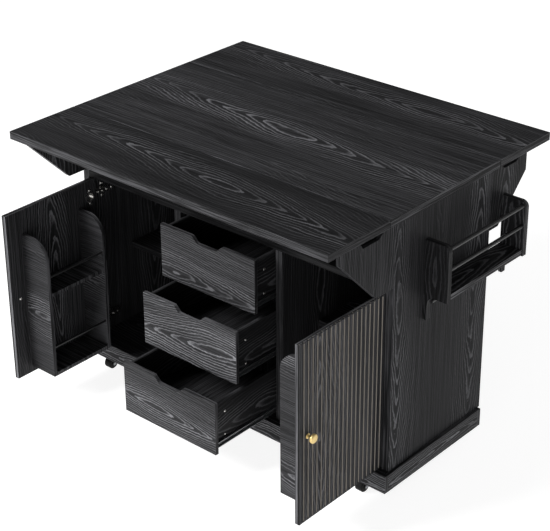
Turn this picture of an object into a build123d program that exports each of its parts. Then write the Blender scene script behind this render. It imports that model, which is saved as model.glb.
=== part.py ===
from build123d import *
import os

# Rolling kitchen cart: fixed worktop with two raised leaves, two fluted doors, three drawers
# and a spice rack on its right side. Millimetres, X to the right, Y to the back, Z up.
# The origin is on the floor under the middle of the cabinet. Everything stands as it is in use:
# doors open at a right angle, drawers pulled out in steps, leaves up on their swung-out wings.

# Overall sizes
height = 915.0
width = 1235.0
depth = 457.0
board = 25.0
touch = 0.3
running_fit = 0.05

# Worktop and leaves
front_overhang = 21.0
rear_overhang = 38.0
leaf_depth = 259.5
seam = 2.5

# Plinth
plinth_bottom = 40.0
plinth_height = 59.0
plinth_board = 15.0
plinth_front_proud = 27.0
plinth_side_proud = 10.0
plinth_rear_inset = 7.0

# Cabinet inside
bay_half = 191.0
sub_top_height = 676.0
sub_top_thickness = 20.0
back_thickness = 9.0
back_inset = 6.0
apron_thickness = 18.0
apron_inset = 40.0
shelf_height = 361.0
shelf_thickness = 18.0
shelf_front = 168.0
shelf_side_gap = 0.5
shelf_pin_radius = 2.5
shelf_pin_length = 9.0
shelf_pin_inset = 45.0

# Doors
door_thickness = 15.0
door_gap = 3.0
door_top_gap = 4.0
flute_count = 19
flute_mouth = 6.6
flute_floor = 4.0
flute_depth = 4.0
knob_edge = 35.0
knob_height = 377.0
knob_base_radius = 8.0
knob_base_height = 2.0
knob_neck_radius = 4.5
knob_neck_length = 10.0
knob_head_radius = 14.0
knob_head_length = 14.0
knob_flare = 4.0
knob_face_radius = 9.0
knob_face_slope = 4.0

# Door hinges
hinge_inset = 4.0
hinge_end = 57.0
hinge_pin = 1.5
hinge_pin_half = 9.0
arm_half_width = 2.0
arm_half_height = 1.3
arm_eye = 2.8
arm_body_start = 36.0
arm_body_length = 50.0
arm_body_width = 6.0
arm_body_half_height = 8.0
kerf_half_height = 2.0
cup_radius = 15.0
cup_depth = 8.0
cup_edge = 27.0
cup_flange = 17.5
cup_flange_thickness = 1.4
cup_wall = 1.8

# Racks on the doors
rack_board = 12.0
rack_depth = 105.0
rack_bottom = 123.0
rack_top = 590.0
rack_corner = 65.0
rack_hinge_margin = 66.0
rack_free_margin = 60.0
rack_middle_shelf = 403.0
rack_rod_radius = 4.0
rack_rod_setback = 8.0
rack_lower_rod = 222.0
rack_upper_rod = 470.0

# Drawers
bottom_pull = 266.0
middle_pull = 172.0
top_pull = 88.0
drawer_gap = 3.0
drawer_spacing = 22.5
drawer_front_thickness = 12.0
drawer_side_inset = 8.0
drawer_board = 12.0
drawer_back_room = 30.0
drawer_side_lift = 21.0
drawer_side_drop = 10.0
drawer_bottom_lift = 8.0
drawer_bottom_thickness = 6.0
drawer_back_drop = 6.0
scoop_width = 118.0
scoop_floor = 78.0
scoop_depth = 20.0
scoop_radius = 14.0
runner_sheet = 1.4
runner_height = 17.0
runner_setback = 16.0
runner_back_room = 26.0
runner_web_gap = 0.6
runner_side_gap = 2.5

# Wings under the leaves
wing_thickness = 18.0
wing_inset = 0.5
wing_joint = 0.5
wing_lift = 4.0
front_wing_reach = 227.5
front_wing_flat = 75.0
front_wing_tip = 36.0
front_notch_depth = 15.0
front_notch_near = 69.0
front_notch_far = 139.0
front_notch_near_slope = 17.0
front_notch_far_slope = 10.0
rear_wing_reach = 178.0
rear_wing_flat = 44.0
rear_wing_tip = 54.0
rear_notch_depth = 10.0
rear_notch_near = 62.0
rear_notch_far = 125.0
rear_notch_near_slope = 10.0
rear_notch_far_slope = 10.0
wing_hinge_offset = 3.0
wing_hinge_barrel = 2.6
wing_hinge_length = 50.0
wing_hinge_leaf = 1.2
wing_hinge_reach = 16.0
hinge_steel_pin = 1.2
knuckle_gap = 0.2
barrel_clearance = 0.4

# Leaf hinges
leaf_hinge_offset = 95.0
leaf_hinge_barrel = 3.0
leaf_hinge_length = 40.0
leaf_hinge_plate = 2.0
leaf_hinge_reach = 25.0

# Spice rack on the right side
spice_depth = 80.0
spice_front = 140.0
spice_length = 395.0
spice_end = 18.0
spice_top = 795.0
spice_bottom = 620.0
spice_leg_bottom = 544.0
spice_leg_width = 11.5
spice_foot = 37.5
spice_corner = 20.0
spice_shelf_lift = 4.0
spice_shelf_thickness = 17.0
spice_shelf_setback = 3.0
spice_rod_radius = 6.0
spice_rod_setback = 9.5
spice_lower_rod = 716.0
spice_upper_rod = 781.0
towel_bar_out = 14.5
towel_bar_height = 598.0

# Casters
caster_x = 530.0
caster_inset = 25.5
caster_plate = 48.0
caster_plate_thickness = 3.0
caster_trail = 22.0
kingpin_radius = 6.0
kingpin_head = 9.0
kingpin_head_height = 4.0
fork_disc_radius = 21.0
fork_disc_height = 6.7
fork_cheek = 2.5
fork_cheek_gap = 0.6
fork_cheek_root = 4.0
fork_cheek_front = 12.0
fork_cheek_back = 10.0
fork_knee = 15.0
fork_eye = 8.0
fork_eye_flat = 4.0
axle_radius = 4.0
wheel_radius = 19.0
wheel_width = 28.0
wheel_edge = 3.0

# Levels and planes that follow from the sizes above
front_y = -depth / 2
rear_y = depth / 2
half_width = width / 2
inner_x = half_width - board
underside = height - board
plinth_top = plinth_bottom + plinth_height
plinth_in_x = half_width + plinth_side_proud - plinth_board
plinth_in_front = front_y - plinth_front_proud + plinth_board
plinth_in_rear = rear_y - plinth_rear_inset - plinth_board
base_under = plinth_top - board
sub_top_upper = sub_top_height + sub_top_thickness
back_front = rear_y - back_inset - back_thickness
divider_x = bay_half + board
top_front = front_y - front_overhang
top_rear = rear_y + rear_overhang
door_bottom = plinth_top + door_gap
door_top = sub_top_height - door_top_gap
door_width = inner_x - divider_x - 2 * door_gap
door_axis_x = inner_x - door_gap - hinge_inset
door_axis_y = front_y + hinge_inset
door_out_x = door_axis_x + hinge_inset
door_in_x = door_out_x - door_thickness
door_root_y = door_axis_y + hinge_inset
door_free_y = door_root_y - door_width
hinge_levels = (door_bottom + hinge_end, door_top - hinge_end)
drawers = (("bottom", bottom_pull), ("middle", middle_pull), ("top", top_pull))
drawer_height = (door_top - door_bottom - (len(drawers) - 1) * drawer_spacing) / len(drawers)
drawer_length = back_front - front_y - drawer_front_thickness - drawer_back_room
runner_front = front_y + runner_setback
runner_rear = back_front - runner_back_room
drawer_front_x = bay_half - drawer_gap
drawer_side_x = drawer_front_x - drawer_side_inset
wing_out_x = half_width - wing_inset
wing_in_x = wing_out_x - wing_thickness
wing_top = underside - touch
wing_bottom = sub_top_upper + wing_lift
wing_axis_x = wing_in_x - wing_hinge_offset
wing_quarter = (wing_top - wing_bottom) / 4
wing_hinge_levels = (wing_bottom + wing_quarter, wing_top - wing_quarter)
leaf_axis_z = underside - leaf_hinge_barrel - touch
leaf_hinge_places = (-(wing_axis_x - leaf_hinge_offset), 0.0, wing_axis_x - leaf_hinge_offset)
spice_rear_y = front_y + spice_front + spice_length
caster_places = [(x, y) for x in (-caster_x, caster_x)
                 for y in (plinth_in_front + caster_inset, plinth_in_rear - caster_inset)]
ends = (("front", 1), ("rear", -1))
sides = (("left", -1), ("right", 1))

os.makedirs("parts", exist_ok=True)


def span(a, b):
    """The two limits in rising order."""
    return min(a, b), max(a, b)


def block(x, y, z, mode=Mode.ADD):
    """A straight board between two limits on each axis."""
    with Locations(((x[0] + x[1]) / 2, (y[0] + y[1]) / 2, (z[0] + z[1]) / 2)):
        Box(x[1] - x[0], y[1] - y[0], z[1] - z[0], mode=mode)


def rod(plane, radius, length, mode=Mode.ADD):
    """A round bar that starts on the plane and runs along its normal."""
    with BuildSketch(plane) as section:
        Circle(radius)
    extrude(section.sketch, amount=length, mode=mode)


def keep(builder, label):
    """Name the piece and write it to its file."""
    builder.part.label = label
    export_step(builder.part, f"parts/{label}.step")


def keep_group(label, *builders):
    """Name a set of separate boards and fittings that touch, and write them to one file."""
    group = Compound([solid for builder in builders for solid in builder.part.solids()])
    group.label = label
    export_step(group, f"parts/{label}.step")


def end_y(end, distance):
    """A place at a distance outside the cabinet's front (end 1) or rear (end -1) edge."""
    return front_y - distance if end > 0 else rear_y + distance


def wing_plane(side, end, level):
    """Plane on a wing's hinge line, x outward across the panel edge, y into the panel."""
    return Plane(origin=(side * wing_axis_x, end_y(end, wing_joint / 2), level),
                 x_dir=(side, 0, 0), z_dir=(0, 0, side * end))


def leaf_plane(end, place, toward):
    """Plane on a leaf's hinge line, y up, x to the fixed top (toward 1) or the leaf (toward -1)."""
    overhang = front_overhang if end > 0 else rear_overhang
    return Plane(origin=(place, end_y(end, overhang + seam / 2), leaf_axis_z),
                 x_dir=(0, end * toward, 0), z_dir=(end * toward, 0, 0))


def hinge_leaf(plane, barrel, length, reach, near, far, knuckle, with_pin):
    """One half of a butt hinge: plate, knuckle over part of the length, and the pin or its bore."""
    plate_start = barrel + barrel_clearance
    with BuildSketch(plane.offset(-length / 2)) as plate:
        with Locations(((plate_start + reach) / 2, (near + far) / 2)):
            Rectangle(reach - plate_start, far - near)
    extrude(plate.sketch, amount=length)
    with BuildSketch(plane.offset(knuckle[0])) as loop:
        Circle(barrel)
        with Locations((plate_start / 2, (near + far) / 2)):
            Rectangle(plate_start, far - near)
        if not with_pin:
            Circle(hinge_steel_pin + running_fit, mode=Mode.SUBTRACT)
    extrude(loop.sketch, amount=knuckle[1] - knuckle[0])
    if with_pin:
        rod(plane.offset(-length / 2), hinge_steel_pin, length)


# Plinth and bottom board
with BuildPart() as bottom_board:
    block((-plinth_in_x, plinth_in_x), (plinth_in_front, plinth_in_rear), (base_under, plinth_top))
keep(bottom_board, "bottom_board")

plinth_out_x = plinth_in_x + plinth_board
with BuildPart() as plinth_front:
    block((-plinth_out_x, plinth_out_x), (plinth_in_front - plinth_board, plinth_in_front),
          (plinth_bottom, plinth_top))
keep(plinth_front, "plinth_front")

with BuildPart() as plinth_rear:
    block((-plinth_out_x, plinth_out_x), (plinth_in_rear, plinth_in_rear + plinth_board),
          (plinth_bottom, plinth_top))
keep(plinth_rear, "plinth_rear")

with BuildPart() as plinth_sides:
    for name, side in sides:
        block(span(side * plinth_in_x, side * plinth_out_x), (plinth_in_front, plinth_in_rear),
              (plinth_bottom, plinth_top))
keep(plinth_sides, "plinth_sides")

# Side panels, with the wing hinges let into their front and rear edges
for name, side in sides:
    with BuildPart() as side_panel:
        block(span(side * inner_x, side * half_width), (front_y, rear_y), (plinth_top, underside))
        for end_name, end in ends:
            edge = end_y(end, 0)
            relief = wing_hinge_barrel + barrel_clearance + wing_joint
            for level in wing_hinge_levels:
                z = (level - wing_hinge_length / 2 - touch, level + wing_hinge_length / 2 + touch)
                reach = wing_axis_x + wing_hinge_reach + touch
                block(span(side * (inner_x - board), side * reach),
                      span(edge - end, edge + end * wing_hinge_leaf), z, mode=Mode.SUBTRACT)
                block(span(side * (inner_x - board), side * (wing_axis_x + relief)),
                      span(edge - end, edge + end * relief), z, mode=Mode.SUBTRACT)
    keep(side_panel, f"{name}_side_panel")

# Dividers, back, sub-top and aprons
for name, side in sides:
    with BuildPart() as divider:
        block(span(side * bay_half, side * divider_x), (front_y, back_front), (plinth_top, sub_top_height))
    keep(divider, f"{name}_divider")

with BuildPart() as back_panel:
    block((-inner_x, inner_x), (back_front, back_front + back_thickness), (plinth_top, sub_top_height))
keep(back_panel, "back_panel")

with BuildPart() as sub_top:
    block((-inner_x, inner_x), (front_y, rear_y), (sub_top_height, sub_top_upper))
keep(sub_top, "sub_top")

with BuildPart() as aprons:
    for end_name, end in ends:
        outer_face = end_y(end, -apron_inset)
        inner_face = end_y(end, -apron_inset - apron_thickness)
        block((-inner_x, inner_x), span(outer_face, inner_face), (sub_top_upper, underside))
keep(aprons, "aprons")

# Fixed worktop and the two leaves
with BuildPart() as centre_top:
    block((-half_width, half_width), (top_front, top_rear), (underside, height))
keep(centre_top, "centre_top")

for end_name, end in ends:
    inner_edge = top_front - seam if end > 0 else top_rear + seam
    outer_edge = inner_edge - end * leaf_depth
    with BuildPart() as leaf:
        block((-half_width, half_width), span(inner_edge, outer_edge), (underside, height))
    keep(leaf, f"{end_name}_leaf")

# Leaf hinges: plates and pins under the fixed top, straps under each leaf
plate_near = underside - leaf_hinge_plate - leaf_axis_z
plate_far = underside - leaf_axis_z
half_hinge = leaf_hinge_length / 2
with BuildPart() as leaf_hinge_plates:
    for end_name, end in ends:
        for place in leaf_hinge_places:
            hinge_leaf(leaf_plane(end, place, 1), leaf_hinge_barrel, leaf_hinge_length, leaf_hinge_reach,
                       plate_near, plate_far, (-half_hinge, -knuckle_gap), True)
keep(leaf_hinge_plates, "leaf_hinge_plates")

for end_name, end in ends:
    with BuildPart() as leaf_hinges:
        for place in leaf_hinge_places:
            hinge_leaf(leaf_plane(end, place, -1), leaf_hinge_barrel, leaf_hinge_length, leaf_hinge_reach,
                       plate_near, plate_far, (-half_hinge, -knuckle_gap), False)
    keep(leaf_hinges, f"{end_name}_leaf_hinges")

# Shelves in the two door bays, on pins
for name, side in sides:
    with BuildPart() as shelf:
        block(span(side * (divider_x + shelf_side_gap), side * (inner_x - shelf_side_gap)),
              (front_y + shelf_front, back_front - shelf_side_gap),
              (shelf_height, shelf_height + shelf_thickness))
    keep(shelf, f"{name}_shelf")

pin_rows = (front_y + shelf_front + shelf_pin_inset, back_front - shelf_pin_inset)
with BuildPart() as shelf_pins:
    for name, side in sides:
        for wall, direction in ((divider_x, side), (inner_x, -side)):
            for row in pin_rows:
                pin_start = (side * wall, row, shelf_height - shelf_pin_radius)
                rod(Plane(origin=pin_start, z_dir=(direction, 0, 0)), shelf_pin_radius, shelf_pin_length)
keep(shelf_pins, "shelf_pins")

# Wings with their hinge leaves
front_floor = wing_top - front_notch_depth
front_outline = [(wing_joint, wing_top), (front_notch_near - front_notch_near_slope, wing_top),
                 (front_notch_near, front_floor), (front_notch_far, front_floor),
                 (front_notch_far + front_notch_far_slope, wing_top), (front_wing_reach, wing_top),
                 (front_wing_reach, wing_top - front_wing_tip), (front_wing_flat, wing_bottom),
                 (wing_joint, wing_bottom)]
rear_floor = wing_top - rear_notch_depth
rear_outline = [(wing_joint, wing_top), (rear_notch_near - rear_notch_near_slope, wing_top),
                (rear_notch_near, rear_floor), (rear_notch_far, rear_floor),
                (rear_notch_far + rear_notch_far_slope, wing_top), (rear_wing_reach, wing_top),
                (rear_wing_reach, wing_top - rear_wing_tip), (rear_wing_flat, wing_bottom),
                (wing_joint, wing_bottom)]
for end_name, end in ends:
    outline = front_outline if end > 0 else rear_outline
    for name, side in sides:
        with BuildPart() as wing:
            with BuildSketch(Plane.YZ.offset(span(side * wing_in_x, side * wing_out_x)[0])):
                with BuildLine():
                    Polyline([(end_y(end, away), level) for away, level in outline], close=True)
                make_face()
            extrude(amount=wing_thickness)
            for level in wing_hinge_levels:
                block(span(side * wing_in_x, side * (wing_axis_x + wing_hinge_reach + touch)),
                      span(end_y(end, 0), end_y(end, wing_joint + wing_hinge_leaf)),
                      (level - wing_hinge_length / 2 - touch, level + wing_hinge_length / 2 + touch),
                      mode=Mode.SUBTRACT)
        with BuildPart() as wing_hinges:
            for level in wing_hinge_levels:
                hinge_leaf(wing_plane(side, end, level), wing_hinge_barrel, wing_hinge_length,
                           wing_hinge_reach, -wing_joint / 2 - wing_hinge_leaf, -wing_joint / 2,
                           (knuckle_gap, wing_hinge_length / 2), False)
        keep_group(f"{end_name}_{name}_wing", wing, wing_hinges)

with BuildPart() as wing_hinge_plates:
    for end_name, end in ends:
        for name, side in sides:
            for level in wing_hinge_levels:
                hinge_leaf(wing_plane(side, end, level), wing_hinge_barrel, wing_hinge_length,
                           wing_hinge_reach, wing_joint / 2, wing_joint / 2 + wing_hinge_leaf,
                           (-wing_hinge_length / 2, -knuckle_gap), True)
keep(wing_hinge_plates, "wing_hinge_plates")

# Fluted doors, standing open
flute_pitch = door_width / (flute_count + 1)
for name, side in sides:
    with BuildPart() as door:
        with BuildSketch(Plane.XY.offset(door_bottom)):
            with Locations((side * (door_out_x + door_in_x) / 2, (door_root_y + door_free_y) / 2)):
                Rectangle(door_thickness, door_width)
            for flute in range(1, flute_count + 1):
                centre = door_free_y + flute * flute_pitch
                with BuildLine():
                    Polyline([(side * door_out_x, centre - flute_mouth / 2),
                              (side * (door_out_x - flute_depth), centre - flute_floor / 2),
                              (side * (door_out_x - flute_depth), centre + flute_floor / 2),
                              (side * door_out_x, centre + flute_mouth / 2)], close=True)
                make_face(mode=Mode.SUBTRACT)
        extrude(amount=door_top - door_bottom)
        for level in hinge_levels:
            block(span(side * (door_in_x - touch), side * (door_axis_x + arm_eye + touch)),
                  (door_axis_y - arm_eye - touch, door_root_y + touch),
                  (level - kerf_half_height, level + kerf_half_height), mode=Mode.SUBTRACT)
            rod(Plane(origin=(side * door_axis_x, door_axis_y, level - hinge_pin_half - touch)),
                hinge_pin + running_fit, 2 * (hinge_pin_half + touch), mode=Mode.SUBTRACT)
            rod(Plane(origin=(side * door_in_x, door_root_y - cup_edge, level), z_dir=(side, 0, 0)),
                cup_radius, cup_depth, mode=Mode.SUBTRACT)
    keep(door, f"{name}_door")

# Hinge cups let into the doors' inner faces
for name, side in sides:
    with BuildPart() as hinge_cups:
        for level in hinge_levels:
            face = Plane(origin=(side * door_in_x, door_root_y - cup_edge, level), z_dir=(side, 0, 0))
            rod(face.offset(-cup_flange_thickness), cup_flange, cup_flange_thickness)
            rod(face, cup_radius - touch / 2, cup_depth - touch)
            rod(face.offset(-cup_flange_thickness), cup_radius - cup_wall, cup_depth - touch,
                mode=Mode.SUBTRACT)
    keep(hinge_cups, f"{name}_hinge_cups")

# Hinge arms on the side panels, each with the pin on which its door turns
with BuildPart() as door_hinge_arms:
    for name, side in sides:
        for level in hinge_levels:
            block(span(side * (door_axis_x - arm_half_width), side * (door_axis_x + arm_half_width)),
                  (door_axis_y, front_y + arm_body_start + arm_half_width),
                  (level - arm_half_height, level + arm_half_height))
            rod(Plane(origin=(side * door_axis_x, door_axis_y, level - arm_half_height)),
                arm_eye, 2 * arm_half_height)
            rod(Plane(origin=(side * door_axis_x, door_axis_y, level - hinge_pin_half)),
                hinge_pin, 2 * hinge_pin_half)
            block(span(side * (door_axis_x - arm_body_width), side * inner_x),
                  (front_y + arm_body_start, front_y + arm_body_start + arm_body_length),
                  (level - arm_body_half_height, level + arm_body_half_height))
keep(door_hinge_arms, "door_hinge_arms")

# Door knobs, turned to shape
head_start = knob_base_height + knob_neck_length
knob_length = head_start + knob_head_length
for name, side in sides:
    knob_centre = (side * door_out_x, door_free_y + knob_edge, knob_height)
    with BuildPart() as knob:
        with BuildSketch(Plane(origin=knob_centre, x_dir=(side, 0, 0), z_dir=(0, 0, 1))):
            with BuildLine():
                Polyline([(0, 0), (0, knob_base_radius), (knob_base_height, knob_base_radius),
                          (knob_base_height, knob_neck_radius), (head_start, knob_neck_radius),
                          (head_start + knob_flare, knob_head_radius),
                          (knob_length - knob_face_slope, knob_head_radius),
                          (knob_length, knob_face_radius), (knob_length, 0)], close=True)
            make_face()
        revolve(axis=Axis(knob_centre, (side, 0, 0)))
    keep(knob, f"{name}_knob")

# Racks on the inner faces of the doors
rack_root_y = door_root_y - rack_hinge_margin
rack_free_y = door_free_y + rack_free_margin
rack_front_x = door_in_x - rack_depth
for name, side in sides:
    with BuildPart() as rack_ends:
        for rack_side_y in (rack_root_y, rack_free_y + rack_board):
            with BuildSketch(Plane.XZ.offset(-rack_side_y)):
                with BuildLine():
                    Polyline([(side * (rack_front_x + rack_corner), rack_top), (side * door_in_x, rack_top),
                              (side * door_in_x, rack_bottom), (side * rack_front_x, rack_bottom),
                              (side * rack_front_x, rack_top - rack_corner)])
                    RadiusArc((side * rack_front_x, rack_top - rack_corner),
                              (side * (rack_front_x + rack_corner), rack_top), side * rack_corner)
                make_face()
            extrude(amount=rack_board)
    with BuildPart() as rack_shelves:
        for shelf_level in (rack_bottom, rack_middle_shelf):
            block(span(side * door_in_x, side * rack_front_x),
                  (rack_free_y + rack_board, rack_root_y - rack_board),
                  (shelf_level, shelf_level + rack_board))
    keep_group(f"{name}_door_rack", rack_ends, rack_shelves)

    with BuildPart() as rack_rods:
        for level in (rack_lower_rod, rack_upper_rod):
            rod(Plane(origin=(side * (rack_front_x + rack_rod_setback), rack_free_y + rack_board, level),
                      z_dir=(0, 1, 0)), rack_rod_radius, rack_root_y - rack_free_y - 2 * rack_board)
    keep(rack_rods, f"{name}_door_rack_rods")

# Drawers with scooped fronts, boxes and sliding runners
runner_in_x = drawer_side_x
runner_out_x = bay_half - runner_sheet - runner_web_gap
for number, (drawer_name, pull) in enumerate(drawers):
    low = door_bottom + number * (drawer_height + drawer_spacing)
    high = low + drawer_height
    face_y = front_y - pull
    box_front = face_y + drawer_front_thickness
    box_rear = box_front + drawer_length
    box_low = low + drawer_side_lift
    box_high = high - drawer_side_drop
    floor_low = box_low + drawer_bottom_lift
    floor_high = floor_low + drawer_bottom_thickness
    box_in_x = drawer_side_x - drawer_board

    with BuildPart() as drawer_front:
        with BuildSketch(Plane.XZ.offset(-box_front)):
            with BuildLine():
                Polyline([(-drawer_front_x, low), (drawer_front_x, low), (drawer_front_x, high),
                          (scoop_width / 2, high), (scoop_floor / 2, high - scoop_depth),
                          (-scoop_floor / 2, high - scoop_depth), (-scoop_width / 2, high),
                          (-drawer_front_x, high)], close=True)
            make_face()
            fillet([v for v in vertices() if abs(v.X) < drawer_front_x - scoop_radius], radius=scoop_radius)
        extrude(amount=drawer_front_thickness)
    keep(drawer_front, f"{drawer_name}_drawer_front")

    with BuildPart() as drawer_sides:
        for name, side in sides:
            block(span(side * box_in_x, side * drawer_side_x), (box_front, box_rear), (box_low, box_high))
    with BuildPart() as drawer_bottom:
        block((-box_in_x, box_in_x), (box_front, box_rear), (floor_low, floor_high))
    with BuildPart() as drawer_back:
        block((-box_in_x, box_in_x), (box_rear - drawer_board, box_rear),
              (floor_high, box_high - drawer_back_drop))
    keep_group(f"{drawer_name}_drawer_box", drawer_sides, drawer_bottom, drawer_back)

    with BuildPart() as drawer_runners:
        for name, side in sides:
            with BuildSketch(Plane.XZ.offset(-box_rear)):
                with BuildLine():
                    Polyline([(side * x, z) for x, z in (
                        (runner_in_x, box_low), (runner_out_x, box_low),
                        (runner_out_x, box_low + runner_sheet),
                        (runner_in_x + runner_sheet, box_low + runner_sheet),
                        (runner_in_x + runner_sheet, box_low + runner_height - runner_sheet),
                        (runner_out_x, box_low + runner_height - runner_sheet),
                        (runner_out_x, box_low + runner_height), (runner_in_x, box_low + runner_height))],
                        close=True)
                make_face()
            extrude(amount=drawer_length)
    keep(drawer_runners, f"{drawer_name}_drawer_runners")

with BuildPart() as cabinet_runners:
    for number in range(len(drawers)):
        box_low = door_bottom + number * (drawer_height + drawer_spacing) + drawer_side_lift
        low = box_low - touch - runner_sheet
        high = box_low + runner_height + touch + runner_sheet
        for name, side in sides:
            with BuildSketch(Plane.XZ.offset(-runner_rear)):
                with BuildLine():
                    Polyline([(side * x, z) for x, z in (
                        (bay_half, low), (runner_in_x + runner_side_gap, low),
                        (runner_in_x + runner_side_gap, low + runner_sheet),
                        (bay_half - runner_sheet, low + runner_sheet),
                        (bay_half - runner_sheet, high - runner_sheet),
                        (runner_in_x + runner_side_gap, high - runner_sheet),
                        (runner_in_x + runner_side_gap, high), (bay_half, high))], close=True)
                make_face()
            extrude(amount=runner_rear - runner_front)
keep(cabinet_runners, "cabinet_runners")

# Spice rack on the right side panel
spice_front_y = front_y + spice_front
spice_out_x = half_width + spice_depth
spice_leg_x = half_width + spice_leg_width
for end_name, rear_face in (("front", spice_front_y + spice_end), ("rear", spice_rear_y)):
    with BuildPart() as spice_end_panel:
        with BuildSketch(Plane.XZ.offset(-rear_face)):
            with BuildLine():
                Polyline([(spice_leg_x, spice_leg_bottom + spice_leg_width),
                          (spice_leg_x, spice_leg_bottom), (half_width, spice_leg_bottom),
                          (half_width, spice_top), (spice_out_x - spice_corner, spice_top)])
                RadiusArc((spice_out_x - spice_corner, spice_top), (spice_out_x, spice_top - spice_corner),
                          spice_corner)
                Polyline([(spice_out_x, spice_top - spice_corner), (spice_out_x, spice_bottom),
                          (half_width + spice_foot, spice_bottom)])
                Spline((half_width + spice_foot, spice_bottom),
                       (spice_leg_x, spice_leg_bottom + spice_leg_width), tangents=((-1, 0), (0, -1)))
            make_face()
        extrude(amount=spice_end)
    keep(spice_end_panel, f"spice_rack_{end_name}_end")

spice_run = (spice_front_y + spice_end, spice_rear_y - spice_end)
with BuildPart() as spice_rack_shelf:
    block((half_width, spice_out_x - spice_shelf_setback), spice_run,
          (spice_bottom + spice_shelf_lift, spice_bottom + spice_shelf_lift + spice_shelf_thickness))
keep(spice_rack_shelf, "spice_rack_shelf")

with BuildPart() as spice_rack_rods:
    for level in (spice_lower_rod, spice_upper_rod):
        rod(Plane(origin=(spice_out_x - spice_rod_setback, spice_run[0], level), z_dir=(0, 1, 0)),
            spice_rod_radius, spice_run[1] - spice_run[0])
keep(spice_rack_rods, "spice_rack_rods")

with BuildPart() as towel_bar:
    rod(Plane(origin=(half_width + towel_bar_out, spice_run[0], towel_bar_height), z_dir=(0, 1, 0)),
        spice_rod_radius, spice_run[1] - spice_run[0])
keep(towel_bar, "towel_bar")

# Casters: fixed plates with kingpins, swivelling forks with axles, wheels
plate_low = base_under - caster_plate_thickness
disc_high = plate_low - touch
disc_low = disc_high - fork_disc_height
with BuildPart() as caster_plates:
    for x, y in caster_places:
        block((x - caster_plate / 2, x + caster_plate / 2), (y - caster_plate / 2, y + caster_plate / 2),
              (plate_low, base_under))
        rod(Plane(origin=(x, y, disc_low - touch)), kingpin_radius, plate_low - disc_low + touch)
        rod(Plane(origin=(x, y, disc_low - touch - kingpin_head_height)), kingpin_head, kingpin_head_height)
keep(caster_plates, "caster_plates")

cheek_in = wheel_width / 2 + fork_cheek_gap
for x, y in caster_places:
    place_name = f"{'front' if y < 0 else 'rear'}_{'left' if x < 0 else 'right'}"
    axle_y = y - caster_trail
    with BuildPart() as fork:
        with BuildSketch(Plane(origin=(x, y, disc_low))):
            Circle(fork_disc_radius)
            Circle(kingpin_radius + running_fit, mode=Mode.SUBTRACT)
        extrude(amount=fork_disc_height)
        for inner_face in (-cheek_in - fork_cheek, cheek_in):
            with BuildSketch(Plane.YZ.offset(x + inner_face)):
                with BuildLine():
                    Polyline([(y + fork_cheek_back, disc_low + fork_cheek_root),
                              (y - fork_cheek_front, disc_low + fork_cheek_root),
                              (y - fork_knee, plinth_bottom), (axle_y - fork_eye, wheel_radius),
                              (axle_y - fork_eye_flat, wheel_radius - fork_eye),
                              (axle_y + fork_eye_flat, wheel_radius - fork_eye),
                              (axle_y + fork_eye, wheel_radius)], close=True)
                make_face()
            extrude(amount=fork_cheek)
        rod(Plane(origin=(x - cheek_in - fork_cheek, axle_y, wheel_radius), z_dir=(1, 0, 0)),
            axle_radius, 2 * (cheek_in + fork_cheek))
    keep(fork, f"{place_name}_caster_fork")

    with BuildPart() as wheel:
        half = wheel_width / 2
        bore = axle_radius + running_fit
        with BuildSketch(Plane(origin=(x, axle_y, wheel_radius), x_dir=(1, 0, 0), z_dir=(0, -1, 0))):
            with BuildLine():
                Polyline([(-half, bore), (-half, wheel_radius - wheel_edge),
                          (-half + wheel_edge, wheel_radius), (half - wheel_edge, wheel_radius),
                          (half, wheel_radius - wheel_edge), (half, bore)], close=True)
            make_face()
        revolve(axis=Axis((x, axle_y, wheel_radius), (1, 0, 0)))
    keep(wheel, f"{place_name}_caster_wheel")
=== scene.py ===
import math

import bmesh
import bpy
from mathutils import Matrix, Vector


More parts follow.
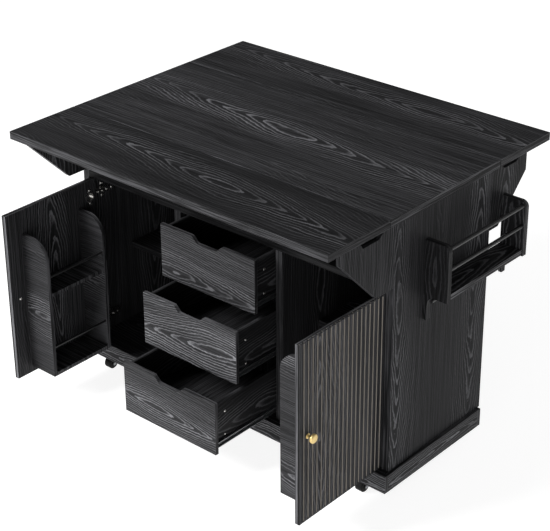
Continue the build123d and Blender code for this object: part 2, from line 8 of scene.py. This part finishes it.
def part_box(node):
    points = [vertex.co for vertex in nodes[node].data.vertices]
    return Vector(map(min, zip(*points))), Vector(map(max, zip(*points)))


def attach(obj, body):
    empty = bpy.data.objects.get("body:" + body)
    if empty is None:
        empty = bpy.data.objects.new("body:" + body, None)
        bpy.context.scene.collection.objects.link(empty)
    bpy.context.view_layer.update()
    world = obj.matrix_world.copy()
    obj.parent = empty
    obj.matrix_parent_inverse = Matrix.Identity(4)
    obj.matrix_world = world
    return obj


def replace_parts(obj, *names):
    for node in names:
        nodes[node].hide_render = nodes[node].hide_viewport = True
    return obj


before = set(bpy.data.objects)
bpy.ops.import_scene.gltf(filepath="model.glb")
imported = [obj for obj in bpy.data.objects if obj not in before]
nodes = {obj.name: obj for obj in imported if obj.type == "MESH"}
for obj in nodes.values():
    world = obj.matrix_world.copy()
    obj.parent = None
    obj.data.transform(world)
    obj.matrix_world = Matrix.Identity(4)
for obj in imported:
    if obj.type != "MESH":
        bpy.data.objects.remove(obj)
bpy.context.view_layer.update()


class Shader:
    """A material with a principled shader, and short calls that add nodes to it."""

    def __init__(self, name, **sockets):
        self.material = bpy.data.materials.new(name)
        self.material.use_nodes = True
        self.tree = self.material.node_tree
        self.surface = next(n for n in self.tree.nodes if n.type == "BSDF_PRINCIPLED")
        for socket, value in sockets.items():
            self.surface.inputs[socket.replace("_", " ")].default_value = value

    def link(self, source, target):
        self.tree.links.new(source, target)

    def feed(self, socket, value):
        """A number or vector goes on the socket itself, and an output is linked to it."""
        if isinstance(value, bpy.types.NodeSocket):
            self.link(value, socket)
        else:
            socket.default_value = value

    def place(self):
        """Place on the object in metres, which stays with the piece as it moves."""
        return self.tree.nodes.new("ShaderNodeTexCoord").outputs["Object"]

    def facing(self):
        """The direction that the surface faces, in the piece's own axes."""
        return self.tree.nodes.new("ShaderNodeTexCoord").outputs["Normal"]

    def split(self, vector):
        node = self.tree.nodes.new("ShaderNodeSeparateXYZ")
        self.link(vector, node.inputs[0])
        return node.outputs

    def math(self, operation, a, b=0.0):
        node = self.tree.nodes.new("ShaderNodeMath")
        node.operation = operation
        self.feed(node.inputs[0], a)
        self.feed(node.inputs[1], b)
        return node.outputs[0]

    def add(self, *values):
        total = values[0]
        for value in values[1:]:
            total = self.math("ADD", total, value)
        return total

    def times(self, a, b):
        return self.math("MULTIPLY", a, b)

    def vector(self, x, y, z):
        node = self.tree.nodes.new("ShaderNodeCombineXYZ")
        for socket, value in zip(node.inputs, (x, y, z)):
            self.feed(socket, value)
        return node.outputs[0]

    def noise(self, vector, scale=1.0, detail=2.0, roughness=0.5):
        node = self.tree.nodes.new("ShaderNodeTexNoise")
        self.link(vector, node.inputs["Vector"])
        node.inputs["Scale"].default_value = scale
        node.inputs["Detail"].default_value = detail
        node.inputs["Roughness"].default_value = roughness
        return node.outputs["Fac"]

    def chance(self, value):
        """A number from 0 to 1 that differs from one whole number to the next."""
        node = self.tree.nodes.new("ShaderNodeTexWhiteNoise")
        node.noise_dimensions = "1D"
        self.link(value, node.inputs["W"])
        return node.outputs["Value"]

    def spread(self, value, low, high, to_low=0.0, to_high=1.0):
        """The value's range from low to high, spread smoothly over another range."""
        node = self.tree.nodes.new("ShaderNodeMapRange")
        node.interpolation_type = "SMOOTHSTEP"
        self.feed(node.inputs["Value"], value)
        limits = {"From Min": low, "From Max": high, "To Min": to_low, "To Max": to_high}
        for socket, number in limits.items():
            node.inputs[socket].default_value = number
        return node.outputs["Result"]

    def ramp(self, value, stops):
        """Grey levels at places from 0 to 1."""
        node = self.tree.nodes.new("ShaderNodeValToRGB")
        elements = node.color_ramp.elements
        while len(elements) < len(stops):
            elements.new(0.5)
        for element, (position, level) in zip(elements, stops):
            element.position = position
            element.color = (level, level, level, 1.0)
        self.link(value, node.inputs["Fac"])
        return node.outputs["Color"]

    def blend(self, factor, first, second):
        """The first number where the factor is 0, and the second where it is 1."""
        return self.add(first, self.times(factor, self.math("SUBTRACT", second, first)))

    def mix(self, factor, first, second):
        node = self.tree.nodes.new("ShaderNodeMix")
        node.data_type = "RGBA"
        self.feed(node.inputs["Factor"], factor)
        self.feed(node.inputs["A"], first)
        self.feed(node.inputs["B"], second)
        return node.outputs["Result"]

    def bump(self, height, strength, distance):
        node = self.tree.nodes.new("ShaderNodeBump")
        node.inputs["Strength"].default_value = strength
        node.inputs["Distance"].default_value = distance
        self.link(height, node.inputs["Height"])
        self.link(node.outputs["Normal"], self.surface.inputs["Normal"])


def grey(value):
    return (value, value, value, 1.0)


def tinted(value):
    """Grey with a little blue in it."""
    return (value, value, value * 1.065, 1.0)


# Colours in the flutes: painted shade for their floors, and a painted highlight over warm bare wood for one
# wall
flute_shade = grey(0.006)
flute_wall_highlight = (0.330, 0.298, 0.262, 1.0)

# Places on the solids, in metres: the flutes of the doors, and the faces of the doors and side panels
flute_pitch = 0.018525
flute_start = -0.591
flute_count = 21
door_face = 0.5895
door_inside = 0.5745
side_inside = 0.5925

# Figure of the veneer: the radius that rounds its tip, and the rings' shift as a share of the depth
eye_round = 0.04
depth_share = 0.45


def veneer(name, grain, across, middle=0.0, eye=0.0, slope=0.0, seed=1.0, strip=0.40, ring=0.0105,
           core=0.015, rise=0.12, dark=0.006, light=0.155, gloss=0.07, stray=1.0,
           haze=0.11, far=0.24, edge=0.44, long_edge_highlight=0.0, fluted=False):
    """Black veneer with the figure of sawn oak. Rings close round an eye at a place along the grain, the
    middle of the figure lies at a place across it, and the figure comes again at each strip's width."""
    shader = Shader(name, Specular_IOR_Level=gloss)
    place = shader.split(shader.place())
    deep = next(axis for axis in "XYZ" if axis not in (grain, across))
    along = shader.math("SUBTRACT", place["XYZ".index(grain)], eye)
    wide = shader.math("SUBTRACT", place["XYZ".index(across)], middle)
    thick = place["XYZ".index(deep)]

    def stretched(along_scale, wide_scale, detail=2.0, roughness=0.5, shift=0.0):
        vector = shader.vector(shader.add(shader.times(along, along_scale), 3.7 * seed + shift),
                               shader.add(shader.times(wide, wide_scale), 1.9 * seed),
                               shader.times(thick, wide_scale))
        return shader.noise(vector, 1.0, detail, roughness)

    def wander(along_scale, wide_scale, size):
        return shader.times(shader.math("SUBTRACT", stretched(along_scale, wide_scale), 0.5), size)

    # Distance from the middle of the figure, and the rings that it crosses
    leaning = shader.math("SUBTRACT", wide, shader.times(along, slope))
    away = shader.math("PINGPONG", shader.add(leaning, wander(2.4, 5.0, 0.075 * stray)), strip / 2)
    rounded = shader.math("SQRT", shader.add(shader.times(away, away), core * core))
    reach = shader.math("SQRT", shader.add(shader.times(along, along), eye_round * eye_round))
    radius = shader.add(rounded, shader.times(reach, rise), shader.times(thick, depth_share),
                        wander(9.0, 26.0, 0.012 * stray), wander(42.0, 75.0, 0.005),
                        wander(95.0, 170.0, 0.003))
    rings = shader.math("DIVIDE", radius, ring)
    line = shader.ramp(shader.math("FRACT", rings),
                       [(0.0, 0.0), (0.48, 0.0), (0.68, 0.45), (0.80, 1.0), (0.89, 0.70), (0.96, 0.0)])
    ring_chance = shader.chance(shader.add(shader.math("FLOOR", rings), seed * 17.0))
    bold = shader.spread(ring_chance, 0.0, 1.0, 0.55, 1.0)
    patch = shader.spread(stretched(1.5, 11.0, 2.0, 0.5, 5.0), 0.35, 0.65, 0.40, 1.0)
    near = shader.spread(away, 0.008, 0.105, 1.25, far)
    figure = shader.times(shader.times(line, bold), shader.times(patch, near))

    # Straight grain, open pores and broad bands
    fine = shader.spread(stretched(2.2, 190.0, 3.0, 0.68), 0.42, 0.64)
    pores = shader.spread(stretched(26.0, 850.0, 3.0, 0.6), 0.36, 0.66)
    bands = shader.spread(stretched(0.7, 9.0, 3.0, 0.5, 9.0), 0.30, 0.70)
    tone = shader.add(shader.times(figure, 1.02), shader.times(fine, haze), shader.times(pores, 0.04),
                      shader.times(bands, 0.03))

    # Edge banding on the narrow faces, with its lines along the edge, and a lighter ground on the long
    # edges that is a painted highlight
    facing = shader.split(shader.facing())
    ends = shader.math("ABSOLUTE", facing["XYZ".index(grain)])
    sides = shader.math("ABSOLUTE", facing["XYZ".index(across)])
    narrow = shader.spread(shader.math("MAXIMUM", ends, sides), 0.60, 0.85)
    edge_vector = shader.vector(shader.times(along, 4.0), shader.times(wide, 4.0),
                                shader.times(thick, 230.0))
    edge_lines = shader.spread(shader.noise(edge_vector, 1.0, 3.0, 0.65), 0.43, 0.61)
    banding = shader.add(shader.times(edge_lines, edge), shader.times(pores, 0.05),
                         shader.times(sides, long_edge_highlight))
    tone = shader.blend(narrow, tone, banding)

    # Eased edges painted lighter, a painted highlight along each arris
    broad = shader.math("ABSOLUTE", facing["XYZ".index(deep)])
    eased = shader.spread(shader.math("MINIMUM", broad, shader.math("MAXIMUM", ends, sides)), 0.25, 0.60)
    tone = shader.add(tone, shader.times(eased, 0.22))

    colour = shader.mix(tone, tinted(dark), tinted(light))
    if fluted:
        # Painted highlight on one wall of each flute, where the light falls, over the warm colour of bare
        # wood; and painted shade in the flute's floor
        from_start = shader.math("SUBTRACT", place[1], flute_start)
        turn = shader.math("FRACT", shader.math("DIVIDE", from_start, flute_pitch))
        side = shader.math("ABSOLUTE", place[0])
        under_face = shader.spread(side, door_face - 0.0007, door_face - 0.0002, 1.0, 0.0)
        inside = shader.times(under_face, shader.spread(side, door_face - 0.006, door_face - 0.0055))
        wall = shader.times(shader.spread(turn, 0.112, 0.126), shader.spread(turn, 0.160, 0.174, 1.0, 0.0))
        floor_start = shader.spread(turn, 0.79, 0.82)
        floor_end = shader.spread(turn, 0.085, 0.11, 1.0, 0.0)
        floor = shader.math("MAXIMUM", floor_end, floor_start)
        colour = shader.mix(shader.times(inside, floor), colour, flute_shade)
        colour = shader.mix(shader.times(inside, wall), colour, flute_wall_highlight)
    shader.link(colour, shader.surface.inputs["Base Color"])
    shader.link(shader.spread(tone, 0.0, 0.8, 0.46, 0.36), shader.surface.inputs["Roughness"])
    height = shader.add(shader.times(pores, 0.5), shader.times(fine, 0.2), shader.times(figure, 0.4))
    shader.bump(height, 0.22, 0.0005)
    return shader


def metal(name, colour, roughness, scale=(900.0, 900.0, 40.0), metallic=1.0):
    """Metal, coated metal or rubber with fine marks, whose scale is given along each axis."""
    half_spread = 0.06
    shader = Shader(name, Metallic=metallic)
    place = shader.split(shader.place())
    vector = shader.vector(*[shader.times(value, factor) for value, factor in zip(place, scale)])
    marks = shader.noise(vector, 1.0, 3.0, 0.6)
    darker = tuple(value * 0.72 for value in colour) + (1.0,)
    shader.link(shader.mix(marks, darker, (*colour, 1.0)), shader.surface.inputs["Base Color"])
    shader.link(shader.spread(marks, 0.25, 0.75, roughness - half_spread, roughness + half_spread),
                shader.surface.inputs["Roughness"])
    shader.bump(marks, 0.3, 0.00006)
    return shader


# Figures that several boards share
top_figure = dict(strip=0.405, gloss=0.06)
plinth_figure = dict(core=0.008, ring=0.007, rise=0.06, light=0.165)
drawer_figure = dict(core=0.011, ring=0.0075, rise=0.10, stray=0.7, haze=0.13, far=0.50)
drawer_box_figure = dict(core=0.014, light=0.09)

# For the wide faces of each board: the grain's direction, the direction across it, and the figure
boards = {
    "front_leaf": ("XY", dict(middle=-0.3765, eye=0.122, slope=-0.065, rise=0.135, light=0.112,
                              **top_figure)),
    # The centre board and the rear leaf are lighter than the front leaf: a painted sheen in place of more
    # gloss
    "centre_top": ("XY", dict(middle=0.036, eye=0.022, slope=-0.064, light=0.190, haze=0.16, **top_figure)),
    "rear_leaf": ("XY", dict(middle=0.423, eye=0.260, slope=-0.062, light=0.140, haze=0.20, **top_figure)),
    # The sub-top is painted near black: painted shade for the shadow that the front leaf casts on its front
    # edge
    "sub_top": ("XY", dict(middle=0.02, dark=0.003, light=0.030)),
    "bottom_board": ("XY", dict(middle=-0.10)),
    "left_shelf": ("XY", dict(middle=0.05, eye=-0.40, edge=0.14)),
    "right_shelf": ("XY", dict(middle=0.08, eye=0.40, edge=0.14)),
    "spice_rack_shelf": ("YX", dict(middle=0.66, light=0.25)),
    "left_side_panel": ("ZY", dict(middle=0.05, eye=0.52, strip=0.30, dark=0.010, light=0.145)),
    # The right side panel's raised ground and softer figure are a painted sheen
    "right_side_panel": ("ZY", dict(middle=0.166, eye=0.62, strip=0.366, ring=0.0085,
                                    dark=0.010, light=0.130, gloss=0.04, far=0.20)),
    "left_divider": ("ZY", dict(middle=0.02, eye=0.30, dark=0.010, edge=0.20)),
    "right_divider": ("ZY", dict(middle=-0.04, eye=0.50, dark=0.010, edge=0.20)),
    "back_panel": ("ZX", dict(middle=0.10, eye=0.42, strip=0.36, dark=0.010, light=0.145)),
    "aprons": ("XZ", dict(middle=0.80)),
    "plinth_front": ("XZ", dict(middle=0.06, eye=0.25, **plinth_figure)),
    "plinth_rear": ("XZ", dict(middle=0.075, eye=-0.2, **plinth_figure)),
    "plinth_sides": ("YZ", dict(middle=0.062, eye=-0.05, **plinth_figure)),
    "front_left_wing": ("ZY", dict(middle=-0.35, eye=0.70)),
    "front_right_wing": ("ZY", dict(middle=-0.57, eye=0.66, dark=0.009, light=0.145,
                                    gloss=0.045, haze=0.20)),
    "rear_left_wing": ("ZY", dict(middle=0.32, eye=0.68)),
    "rear_right_wing": ("ZY", dict(middle=0.30, eye=0.66, light=0.115, gloss=0.045)),
    # The doors' long edges get a painted highlight, stronger on the left door, whose free edge faces the
    # light
    "left_door": ("ZY", dict(middle=-0.407, eye=0.36, core=0.014, ring=0.0085, light=0.165, haze=0.16,
                             long_edge_highlight=0.34, fluted=True)),
    "right_door": ("ZY", dict(middle=-0.499, eye=0.43, core=0.012, ring=0.0085, light=0.195, haze=0.20,
                              long_edge_highlight=0.12, fluted=True)),
    "left_door_rack": ("XZ", dict(middle=0.34, eye=-0.50, ring=0.007, light=0.175)),
    "right_door_rack": ("XZ", dict(middle=0.20, eye=0.52, ring=0.007, light=0.185)),
    "spice_rack_front_end": ("ZX", dict(middle=0.655, eye=0.70, core=0.012, dark=0.007, light=0.085)),
    "spice_rack_rear_end": ("ZX", dict(middle=0.66, eye=0.66, core=0.012)),
    # The fronts' tones follow the light on each: the top front is darker, a painted shade under the leaf
    # above it, and the middle front is the lightest
    "bottom_drawer_front": ("XZ", dict(middle=0.161, eye=-0.06, slope=-0.03, light=0.165, **drawer_figure)),
    "middle_drawer_front": ("XZ", dict(middle=0.370, eye=0.100, slope=0.02, light=0.210, **drawer_figure)),
    "top_drawer_front": ("XZ", dict(middle=0.522, eye=-0.145, slope=-0.02, light=0.135, **drawer_figure)),
    "bottom_drawer_box": ("YZ", dict(middle=0.17, eye=-0.25, **drawer_box_figure)),
    "middle_drawer_box": ("YZ", dict(middle=0.36, eye=-0.20, **drawer_box_figure)),
    "top_drawer_box": ("YZ", dict(middle=0.57, eye=-0.10, **drawer_box_figure)),
}


def dress(node, shader):
    """The node shows this material alone."""
    data = nodes[node].data
    data.materials.clear()
    data.materials.append(shader.material)


def soften(node, width):
    """Ease the node's sharp edges by a small round, so that they catch the light."""
    piece = nodes[node]
    weld = piece.modifiers.new("joined_faces", "WELD")
    weld.merge_threshold = 0.000005
    bevel = piece.modifiers.new("eased_edges", "BEVEL")
    bevel.width = width
    bevel.segments = 2
    bevel.limit_method = "ANGLE"
    bevel.angle_limit = math.radians(35)
    normals = piece.modifiers.new("flat_faces", "WEIGHTED_NORMAL")
    normals.keep_sharp = False


board_edge = 0.0008
door_shaders = {}
for number, (node, (axes, figure)) in enumerate(boards.items()):
    wood = veneer(f"veneer_{node}", axes[0], axes[1], seed=number + 1.0, **figure)
    dress(node, wood)
    soften(node, board_edge)
    if node.endswith("_door"):
        door_shaders[node.split("_")[0]] = wood

brass = metal("brass", (0.92, 0.69, 0.29), 0.36, metallic=0.62)
nickel = metal("nickel", (0.72, 0.71, 0.69), 0.24)
runner_steel = metal("runner_steel", (0.36, 0.37, 0.38), 0.42, (900.0, 30.0, 900.0))
black_steel = metal("black_steel", (0.016, 0.016, 0.017), 0.36, (1400.0, 1400.0, 1400.0), 0.0)
black_steel.surface.inputs["Specular IOR Level"].default_value = 0.50
rubber = metal("rubber", (0.007, 0.007, 0.007), 0.62, (1100.0, 1100.0, 1100.0), 0.0)
rubber.surface.inputs["Specular IOR Level"].default_value = 0.15
for node in nodes:
    if node in boards:
        continue
    if "knob" in node:
        dress(node, brass)
    elif "runners" in node:
        dress(node, runner_steel)
    elif "wheel" in node:
        dress(node, rubber)
    elif "rods" in node or "bar" in node or "fork" in node or "caster" in node:
        dress(node, black_steel)
    else:
        dress(node, nickel)


def turned(mesh, profile, place, axis, cross=0.0):
    """Add a turned form to the mesh: pairs of radius and height, spun about an axis that starts at a place.
    A cross recess of this half length can be pressed into its end."""
    turns = 48
    slot_half_width = 0.3 * cross
    slot_floor = 0.35
    stand = Matrix.Translation(place) @ Vector(axis).to_track_quat("Z", "Y").to_matrix().to_4x4()
    rings = []
    for radius, height in profile:
        ring = []
        for step in range(turns):
            angle = 2 * math.pi * step / turns
            x, y = radius * math.cos(angle), radius * math.sin(angle)
            pressed = radius < cross and min(abs(x), abs(y)) < slot_half_width and height > 0
            top = height * slot_floor if pressed else height
            ring.append(mesh.verts.new(stand @ Vector((x, y, top))))
        rings.append(ring)
    for lower, upper in zip(rings, rings[1:]):
        for step in range(turns):
            mesh.faces.new((lower[step], lower[step - 1], upper[step - 1], upper[step]))
    mesh.faces.new(rings[0])
    mesh.faces.new(rings[-1][::-1])


def screw(mesh, place, axis, radius):
    """Add a domed screw head with a cross recess."""
    dome = [(radius * share, radius * 0.45 * math.sqrt(1.08 - share * share))
            for share in (1.0, 0.96, 0.85, 0.70, 0.58, 0.54, 0.40, 0.25, 0.10)]
    turned(mesh, [(radius, 0.0), *dome], place, axis, cross=radius * 0.56)


def slab(mesh, outline, start, end):
    """Add a flat form to the mesh, from an outline of places along Y and Z, between two places along X."""
    rings = [[mesh.verts.new((x, y, z)) for y, z in outline] for x in (start, end)]
    for step in range(len(outline)):
        mesh.faces.new((rings[0][step - 1], rings[0][step], rings[1][step], rings[1][step - 1]))
    mesh.faces.new(rings[0])
    mesh.faces.new(rings[1])


def arc(y, z, radius, start, end, steps=12):
    """Places along Y and Z on an arc, between two angles in degrees."""
    angles = [math.radians(start + (end - start) * step / steps) for step in range(steps + 1)]
    return [(y + radius * math.cos(angle), z + radius * math.sin(angle)) for angle in angles]


def add_piece(name, mesh, shader, body, ease=0.0):
    """Put the mesh in the scene as a piece that moves with a body."""
    bmesh.ops.recalc_face_normals(mesh, faces=mesh.faces)
    data = bpy.data.meshes.new(name)
    mesh.to_mesh(data)
    mesh.free()
    data.shade_smooth()
    data.set_sharp_from_angle(angle=math.radians(32))
    data.materials.append(shader.material)
    piece = bpy.data.objects.new(name, data)
    bpy.context.scene.collection.objects.link(piece)
    if ease:
        bevel = piece.modifiers.new("eased_edges", "BEVEL")
        bevel.width = ease
        bevel.segments = 2
        bevel.limit_method = "ANGLE"
    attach(piece, body)
    return piece


# Knobs: a base, a slim neck and a broad head with rounded edges
knob_profile = [(0.0080, 0.0), (0.0080, 0.0012), (0.0076, 0.0018), (0.0060, 0.0021), (0.0050, 0.0028),
                (0.0045, 0.0042), (0.0045, 0.0090), (0.0050, 0.0112), (0.0066, 0.0130), (0.0095, 0.0142),
                (0.0122, 0.0152), (0.0135, 0.0166), (0.0140, 0.0186), (0.0140, 0.0208), (0.0136, 0.0228),
                (0.0124, 0.0244), (0.0104, 0.0253), (0.0070, 0.0258), (0.0030, 0.0260), (0.0004, 0.0260)]
knob_screw_radius = 0.005
hinge_heights = (0.159, 0.615)

# Ears of the hinge cups, and stops of the flutes
cup_y = -0.2475
ear_thickness = 0.0012
ear_reach = 0.0225
ear_screw_radius = 0.0036
ear_outline = [(-0.0070, 0.0140), *arc(0.0, ear_reach, 0.0060, 180, 0), (0.0070, 0.0140)]
stop_height = 0.0025
stop_half_width = 0.0033
stop_depth = 0.0045
stop_margin = 0.0001
for side_name, side in (("left", -1), ("right", 1)):
    low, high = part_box(f"{side_name}_knob")
    knob_y, knob_z = (low[1] + high[1]) / 2, (low[2] + high[2]) / 2
    knob = bmesh.new()
    turned(knob, knob_profile, (side * door_face, knob_y, knob_z), (side, 0, 0))
    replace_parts(add_piece(f"{side_name}_turned_knob", knob, brass, f"{side_name}_door"),
                f"{side_name}_knob")
    screws = bmesh.new()
    screw(screws, (side * door_inside, knob_y, knob_z), (-side, 0, 0), knob_screw_radius)
    ears = bmesh.new()
    ear_face = side * (door_inside - ear_thickness)
    for height in hinge_heights:
        for way in (-1, 1):
            outline = [(cup_y + y, height + way * z) for y, z in ear_outline]
            slab(ears, outline, side * door_inside, ear_face)
            screw(screws, (ear_face, cup_y, height + way * ear_reach), (-side, 0, 0), ear_screw_radius)
    add_piece(f"{side_name}_door_screws", screws, nickel, f"{side_name}_door")
    add_piece(f"{side_name}_hinge_ears", ears, nickel, f"{side_name}_door", 0.0003)

    # Stops that close the flutes at the door's top and bottom
    stops = bmesh.new()
    door_low, door_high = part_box(f"{side_name}_door")
    for flute in range(flute_count):
        y = flute_start + flute * flute_pitch
        near_y = max(y - stop_half_width, door_low[1] + 2 * stop_margin)
        far_y = min(y + stop_half_width, door_high[1] - 2 * stop_margin)
        for low_z in (door_low[2] + stop_margin, door_high[2] - stop_height - stop_margin):
            high_z = low_z + stop_height
            if far_y > near_y:
                slab(stops, [(near_y, low_z), (far_y, low_z), (far_y, high_z), (near_y, high_z)],
                     side * (door_face - stop_depth), side * (door_face - stop_margin))
    add_piece(f"{side_name}_flute_stops", stops, door_shaders[side_name], f"{side_name}_door")

# Covers of the hinge arms and their plates on the side panels
screw_radius = 0.0042
cover_outline = [(-0.2060, -0.0045), (-0.2000, -0.0090), (-0.1400, -0.0090),
                 (-0.1400, 0.0090), (-0.2000, 0.0090), (-0.2060, 0.0045)]
cover_thickness = 0.0140
cover_screw_places = (-0.1490, -0.1700, -0.1880)
plate_y = -0.1800
plate_thickness = 0.0022
plate_reach = 0.0210
plate_outline = [(-0.0075, 0.0080), *arc(0.0, plate_reach, 0.0075, 180, 0), (0.0075, 0.0080)]
covers, cover_screws = bmesh.new(), bmesh.new()
for side in (-1, 1):
    cover_face = side * (side_inside - cover_thickness)
    plate_face = side * (side_inside - plate_thickness)
    for height in hinge_heights:
        slab(covers, [(y, height + z) for y, z in cover_outline], side * side_inside, cover_face)
        for y in cover_screw_places:
            screw(cover_screws, (cover_face, y, height), (-side, 0, 0), screw_radius)
        for way in (-1, 1):
            outline = [(plate_y + y, height + way * z) for y, z in plate_outline]
            slab(covers, outline, side * side_inside, plate_face)
            place = (plate_face, plate_y, height + way * plate_reach)
            screw(cover_screws, place, (-side, 0, 0), screw_radius)
add_piece("hinge_arm_covers", covers, nickel, "cabinet", 0.0008)
add_piece("hinge_arm_screws", cover_screws, nickel, "cabinet")

# Screws that hold the drawer fronts to the sides of their boxes
front_screw_y = 0.051
front_screw_heights = (0.047, 0.127)
for drawer in ("bottom", "middle", "top"):
    front_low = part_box(f"{drawer}_drawer_front")[0]
    box_low, box_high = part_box(f"{drawer}_drawer_box")
    heads = bmesh.new()
    for face, way in ((box_low[0], -1), (box_high[0], 1)):
        for height in front_screw_heights:
            place = (face, front_low[1] + front_screw_y, front_low[2] + height)
            screw(heads, place, (way, 0, 0), screw_radius)
    add_piece(f"{drawer}_drawer_screws", heads, nickel, f"{drawer}_drawer")

# Caps on the ends of the casters' axles, on the outer faces of the forks
fork_half_width = 0.0171
cap_profile = [(0.0050, 0.0), (0.0050, 0.0008), (0.0045, 0.0014),
               (0.0032, 0.0018), (0.0028, 0.0012), (0.0004, 0.0012)]
for end in ("front", "rear"):
    for side_name in ("left", "right"):
        low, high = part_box(f"{end}_{side_name}_caster_wheel")
        x, y, z = [(a + b) / 2 for a, b in zip(low, high)]
        caps = bmesh.new()
        for way in (-1, 1):
            turned(caps, cap_profile, (x + way * fork_half_width, y, z), (way, 0, 0))
        add_piece(f"{end}_{side_name}_axle_caps", caps, runner_steel, f"{end}_{side_name}_fork")

# Floor, light and camera
floor_shader = Shader("pale_floor", Roughness=0.9, Specular_IOR_Level=0.1,
                      Emission_Color=grey(1.0), Emission_Strength=0.88)
floor_speckle = floor_shader.noise(floor_shader.place(), 3.0)
floor_colour = floor_shader.mix(floor_speckle, grey(0.38), grey(0.40))
floor_shader.link(floor_colour, floor_shader.surface.inputs["Base Color"])
floor_mesh = bpy.data.meshes.new("floor")
grid = bmesh.new()
bmesh.ops.create_grid(grid, x_segments=8, y_segments=8, size=30.0)
grid.to_mesh(floor_mesh)
grid.free()
floor = bpy.data.objects.new("floor", floor_mesh)
floor_mesh.materials.append(floor_shader.material)
bpy.context.scene.collection.objects.link(floor)

world = bpy.data.worlds.new("studio")
world.use_nodes = True
background = next(n for n in world.node_tree.nodes if n.type == "BACKGROUND")
background.inputs["Color"].default_value = grey(1.0)
background.inputs["Strength"].default_value = 0.12
bpy.context.scene.world = world


def soft_box(name, place, target, size, power):
    """A square light that faces the target."""
    data = bpy.data.lights.new(name, "AREA")
    data.size = size
    data.energy = power
    lamp = bpy.data.objects.new(name, data)
    lamp.location = place
    lamp.rotation_euler = (Vector(target) - Vector(place)).to_track_quat("-Z", "Y").to_euler()
    bpy.context.scene.collection.objects.link(lamp)


soft_box("front_light", (-2.0, -4.0, 3.7), (0.0, -0.3, 0.45), 2.0, 400.0)
soft_box("fill_light", (2.6, -4.6, 1.0), (0.0, -0.3, 0.4), 3.0, 58.0)
soft_box("right_light", (4.6, 1.5, 2.6), (0.5, 0.0, 0.45), 2.0, 8.0)
soft_box("rear_light", (0.8, 4.8, 1.0), (0.0, 0.3, 0.45), 2.5, 60.0)

camera_data = bpy.data.cameras.new("camera")
camera_data.sensor_width = 36.0
camera_data.sensor_fit = "HORIZONTAL"
camera_data.lens = 105.25
camera_data.shift_y = -0.099
camera_data.clip_end = 100.0
camera = bpy.data.objects.new("camera", camera_data)
azimuth, elevation, roll = math.radians(41.302), math.radians(25.871), math.radians(-0.359)
back = Vector((math.sin(azimuth) * math.cos(elevation), -math.cos(azimuth) * math.cos(elevation),
               math.sin(elevation)))
level = Vector((math.cos(azimuth), math.sin(azimuth), 0.0))
upright = back.cross(level)
right = math.cos(roll) * level + math.sin(roll) * upright
up = math.cos(roll) * upright - math.sin(roll) * level
turn = Matrix((right, up, back)).transposed().to_4x4()
camera.matrix_world = Matrix.Translation((2.9078, -3.3217, 2.7958)) @ turn
bpy.context.scene.collection.objects.link(camera)
bpy.context.scene.camera = camera
bpy.context.scene.view_settings.view_transform = "Standard"
